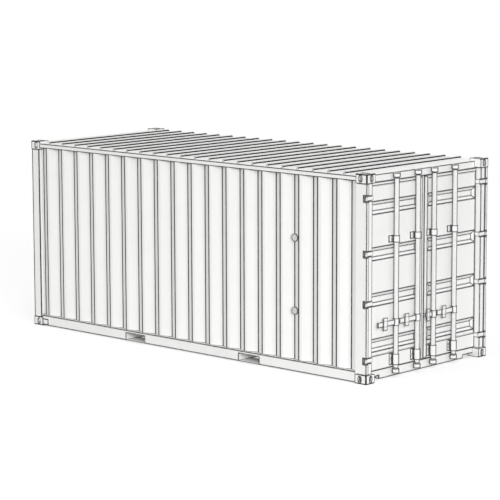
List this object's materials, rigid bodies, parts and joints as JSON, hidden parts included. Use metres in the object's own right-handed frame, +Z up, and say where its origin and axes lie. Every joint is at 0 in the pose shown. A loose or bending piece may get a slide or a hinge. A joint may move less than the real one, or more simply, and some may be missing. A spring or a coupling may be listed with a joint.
{
  "type": "steel freight container with double cargo doors",
  "caption": "Corrugated steel box on corner castings with double end doors, turning lock rods, fork pockets and a ribbed roof, used as a secure store or mobile facility.",
  "frame": {"origin": "centre of the container's plan, on the plane of the bottom castings' undersides", "axes": "+X towards the door end along the length, +Y across to the far side wall, +Z up"},
  "size_m": [6.058, 2.438, 2.591],
  "materials": {
    "white_paint": "satin",
    "lock_gear": "satin",
    "hinge_steel": "worn",
    "floor_plywood": "worn",
    "seal_rubber": "matte"
  },
  "bodies": {
    "frame": {"bottom_corner_castings": "white_paint", "top_corner_castings": "white_paint", "front_corner_posts": "white_paint", "rear_corner_posts": "white_paint", "hinge_lugs": "hinge_steel", "bottom_side_rails": "white_paint", "rail_doublers": "white_paint", "fork_pockets": "white_paint", "cross_members": "white_paint", "floor_boards": "floor_plywood", "left_side_wall": "white_paint", "right_side_wall": "white_paint", "front_wall": "white_paint", "top_side_rails": "white_paint", "front_bottom_rail": "white_paint", "front_top_rail": "white_paint", "roof_sheet": "white_paint", "door_header": "white_paint", "door_sill": "white_paint", "door_stop_frame": "white_paint", "door_buffers": "seal_rubber", "top_cam_keepers": "lock_gear", "bottom_cam_keepers": "lock_gear"},
    "left_door": {"left_door_stiles": "white_paint", "left_door_rails": "white_paint", "left_door_panel": "white_paint", "left_door_gasket": "seal_rubber", "left_door_hinge_blades": "white_paint", "left_door_rod_guides": "lock_gear", "left_door_handle_rests": "lock_gear"},
    "right_door": {"right_door_stiles": "white_paint", "right_door_rails": "white_paint", "right_door_panel": "white_paint", "right_door_gasket": "seal_rubber", "right_door_hinge_blades": "white_paint", "right_door_rod_guides": "lock_gear", "right_door_handle_rests": "lock_gear"},
    "left_outer_lock_rod": {"left_outer_rod": "lock_gear", "left_outer_handle": "lock_gear"},
    "left_inner_lock_rod": {"left_inner_rod": "lock_gear", "left_inner_handle": "lock_gear"},
    "right_inner_lock_rod": {"right_inner_rod": "lock_gear", "right_inner_handle": "lock_gear"},
    "right_outer_lock_rod": {"right_outer_rod": "lock_gear", "right_outer_handle": "lock_gear"}
  },
  "joints": [
    {"name": "left_door_hinge", "type": "hinge", "parent": "frame", "child": "left_door", "pos_m": [3.013, -1.204, 1.295], "axis": [0, 0, -1], "range_deg": [0, 265]},
    {"name": "right_door_hinge", "type": "hinge", "parent": "frame", "child": "right_door", "pos_m": [3.013, 1.204, 1.295], "axis": [0, 0, 1], "range_deg": [0, 265]},
    {"name": "left_outer_rod_turn", "type": "hinge", "parent": "left_door", "child": "left_outer_lock_rod", "pos_m": [2.98, -0.585, 0.697], "axis": [0, 0, -1], "range_deg": [-100, 0]},
    {"name": "left_inner_rod_turn", "type": "hinge", "parent": "left_door", "child": "left_inner_lock_rod", "pos_m": [2.98, -0.163, 0.697], "axis": [0, 0, -1], "range_deg": [-100, 0]},
    {"name": "right_inner_rod_turn", "type": "hinge", "parent": "right_door", "child": "right_inner_lock_rod", "pos_m": [2.98, 0.163, 0.697], "axis": [0, 0, -1], "range_deg": [-100, 0]},
    {"name": "right_outer_rod_turn", "type": "hinge", "parent": "right_door", "child": "right_outer_lock_rod", "pos_m": [2.98, 0.585, 0.697], "axis": [0, 0, -1], "range_deg": [-100, 0]}
  ]
}
